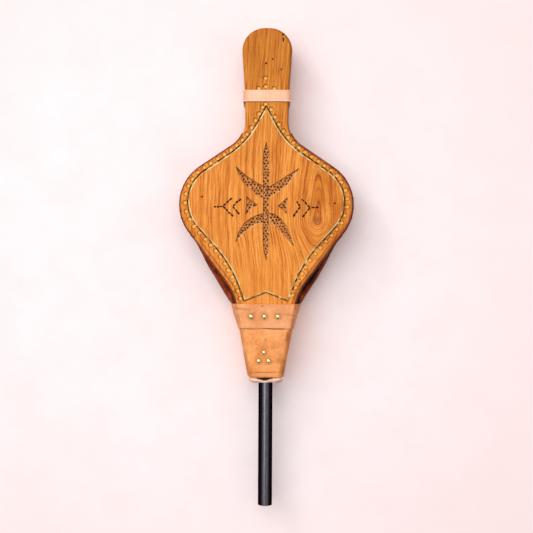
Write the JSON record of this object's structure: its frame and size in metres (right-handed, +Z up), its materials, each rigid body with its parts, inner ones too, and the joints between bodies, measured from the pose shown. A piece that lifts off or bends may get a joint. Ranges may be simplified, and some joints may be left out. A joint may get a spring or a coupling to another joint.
{
  "type": "hand bellows",
  "caption": "Hand bellows for a hearth: two pear-shaped wooden boards on a leather hinge, folding leather side, carved face, inlet valve, iron nozzle pipe and keeper strap.",
  "frame": {"origin": "centre of the footprint, on the surface the bellows lies on with its back down", "axes": "+Y from the nozzle to the handles, +Z up out of the front board, +X to the right seen from the front"},
  "size_m": [0.168, 0.4608, 0.0521],
  "materials": {
    "board_wood": "satin oiled hardwood",
    "wrap_leather": "natural tan leather",
    "strap_leather": "pale undyed leather",
    "suede": "rough flesh side",
    "gusset_leather": "smooth dark red-brown leather",
    "valve_leather": "soft brown leather",
    "brass": "polished",
    "black_iron": "gloss black"
  },
  "bodies": {
    "back": {"back_board": "board_wood", "nose_block": "board_wood", "nose_cap": "board_wood", "nozzle_pipe": "black_iron", "nose_wrap": "wrap_leather", "nose_collar": "suede", "nose_wrap_tacks_front": "brass", "nose_wrap_tacks_back": "brass", "hinge_band": "wrap_leather", "hinge_band_tacks_back": "brass", "hinge_strip": "wrap_leather", "hinge_strip_tacks_nose": "brass", "gusset": "gusset_leather", "back_welt": "gusset_leather", "back_edge_tacks": "brass", "valve_flap_tab": "valve_leather", "valve_flap_tacks": "brass", "valve_stop_strap": "valve_leather", "valve_stop_tacks": "brass"},
    "front": {"front_board": "board_wood", "front_welt": "gusset_leather", "front_edge_tacks": "brass", "hinge_band_tacks_front": "brass", "hinge_strip_tacks_board": "brass"},
    "flap": {"valve_flap": "valve_leather"},
    "keeper": {"keeper_strap": "strap_leather", "keeper_rivets": "brass"}
  },
  "joints": [
    {"name": "board_hinge", "type": "hinge", "parent": "back", "child": "front", "pos_m": [0, -0.0575, 0.04825], "axis": [1, 0, 0], "range_deg": [0, 26], "deforming": ["gusset", "hinge_band", "hinge_strip"]},
    {"name": "valve_flap_hinge", "type": "hinge", "parent": "back", "child": "flap", "pos_m": [0, 0.06825, 0.01845], "axis": [-1, 0, 0], "range_deg": [0, 20]},
    {"name": "keeper_slide", "type": "slide", "parent": "back", "child": "keeper", "axis": [0, 1, 0], "range_m": [0, 0.11], "deforming": ["keeper_strap"]}
  ]
}
